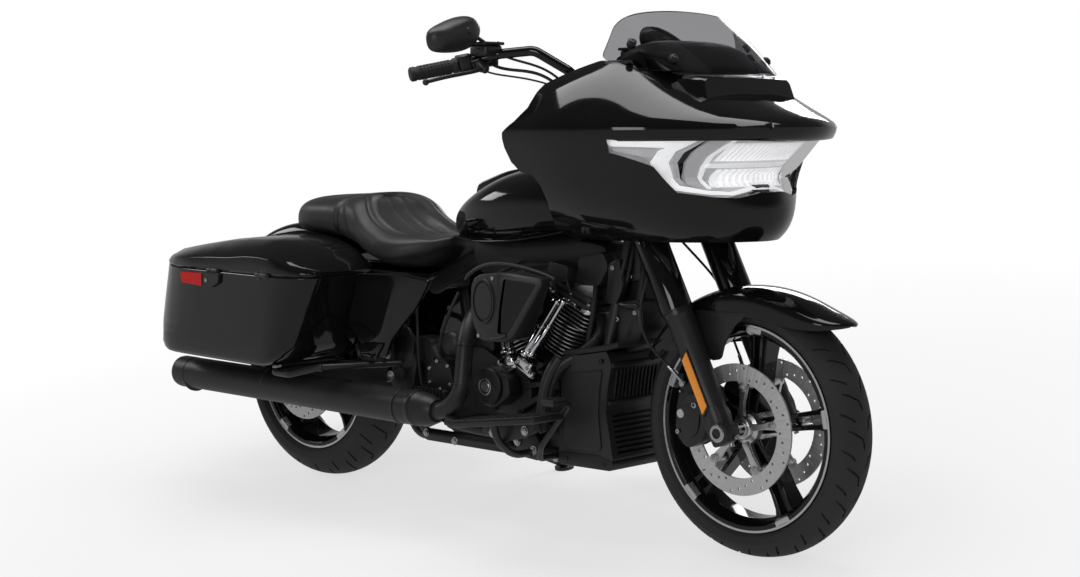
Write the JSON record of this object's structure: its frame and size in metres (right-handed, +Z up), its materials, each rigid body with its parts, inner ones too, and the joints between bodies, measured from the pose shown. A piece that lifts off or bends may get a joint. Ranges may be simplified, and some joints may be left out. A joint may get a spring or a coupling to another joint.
{
  "type": "touring cruiser motorcycle",
  "caption": "Touring cruiser motorcycle with frame-mounted fairing, V-twin engine, hard saddlebags, turning wheels, steering, bag lids and a side stand it leans on.",
  "frame": {"origin": "middle of the parked motorcycle's box, on the floor", "axes": "+X forward, +Y to the rider's left, +Z up"},
  "size_m": [2.4103, 1.0254, 1.3733],
  "materials": {
    "belt_rubber": "matt",
    "black_exhaust": "satin",
    "chrome": "polished",
    "disc_steel": "ground",
    "engine_black": "textured satin",
    "gloss_black": "gloss",
    "lamp_clear": "clear",
    "machined": "machined",
    "plastic_black": "matt",
    "rubber": "matt",
    "satin_black": "satin",
    "seat_vinyl": "grained",
    "smoke_screen": "smoked"
  },
  "bodies": {
    "chassis": {"frame": "satin_black", "headlamp": "lamp_clear", "swingarm": "satin_black", "rear_axle": "machined", "rear_shocks": "satin_black", "crankcase": "engine_black", "cylinder_front": "engine_black", "cylinder_rear": "engine_black", "pushrod_covers": "chrome", "cam_cover": "engine_black", "primary_cover": "engine_black", "air_cleaner": "engine_black", "mufflers": "black_exhaust", "exhaust_pipes": "black_exhaust", "fuel_tank": "gloss_black", "tank_console": "plastic_black", "rear_fender": "gloss_black", "tail_light": "plastic_black", "seat": "seat_vinyl", "side_covers": "gloss_black", "saddlebag_right": "gloss_black", "saddlebag_left": "gloss_black", "bag_guards": "satin_black", "fairing_outer": "gloss_black", "fairing_inner": "plastic_black", "windshield": "smoke_screen", "radiator_cowl": "plastic_black", "footboards": "satin_black", "foot_controls": "satin_black", "drive_belt": "belt_rubber"},
    "front_wheel": {"front_tyre": "rubber", "front_rim": "gloss_black", "front_brake_discs": "disc_steel"},
    "rear_wheel": {"rear_tyre": "rubber", "rear_rim": "gloss_black", "rear_brake_disc": "disc_steel", "rear_pulley": "satin_black"},
    "steering": {"fork_sliders": "satin_black", "fork_yokes": "satin_black", "front_axle": "machined", "front_fender": "gloss_black", "front_brakes": "satin_black", "handlebar": "satin_black", "hand_controls": "plastic_black", "mirrors": "satin_black"},
    "side_stand": {"side_stand": "satin_black"},
    "bag_lid_right": {"bag_lid_right": "gloss_black"},
    "bag_lid_left": {"bag_lid_left": "gloss_black"},
    "fuel_door": {"fuel_door": "satin_black"}
  },
  "joints": [
    {"name": "steering", "type": "hinge", "parent": "chassis", "child": "steering", "pos_m": [0.6113, -0.01717, 0.90147], "axis": [-0.4384, 0.1406, 0.8877], "range_deg": [-30, 30]},
    {"name": "front_wheel_spin", "type": "hinge", "parent": "steering", "child": "front_wheel", "pos_m": [0.88585, -0.10986, 0.31629], "axis": [0, 0.9877, -0.1564], "continuous": true},
    {"name": "rear_wheel_spin", "type": "hinge", "parent": "chassis", "child": "rear_wheel", "pos_m": [-0.73915, -0.10851, 0.3248], "axis": [0, 0.9877, -0.1564], "continuous": true},
    {"name": "side_stand_swing", "type": "hinge", "parent": "chassis", "child": "side_stand", "pos_m": [-0.11915, -0.00592, 0.12873], "axis": [0, 0.454, 0.891], "range_deg": [0, 100]},
    {"name": "bag_lid_right_hinge", "type": "hinge", "parent": "chassis", "child": "bag_lid_right", "pos_m": [-0.63915, -0.46657, 0.6978], "axis": [0.9967, -0.08, 0.0127], "range_deg": [0, 75]},
    {"name": "bag_lid_left_hinge", "type": "hinge", "parent": "chassis", "child": "bag_lid_left", "pos_m": [-0.63915, 0.34729, 0.5689], "axis": [-0.9967, -0.08, 0.0127], "range_deg": [0, 75]},
    {"name": "fuel_door_hinge", "type": "hinge", "parent": "chassis", "child": "fuel_door", "pos_m": [0.17785, -0.01021, 0.94546], "axis": [0, -0.9877, 0.1564], "range_deg": [0, 100]}
  ]
}
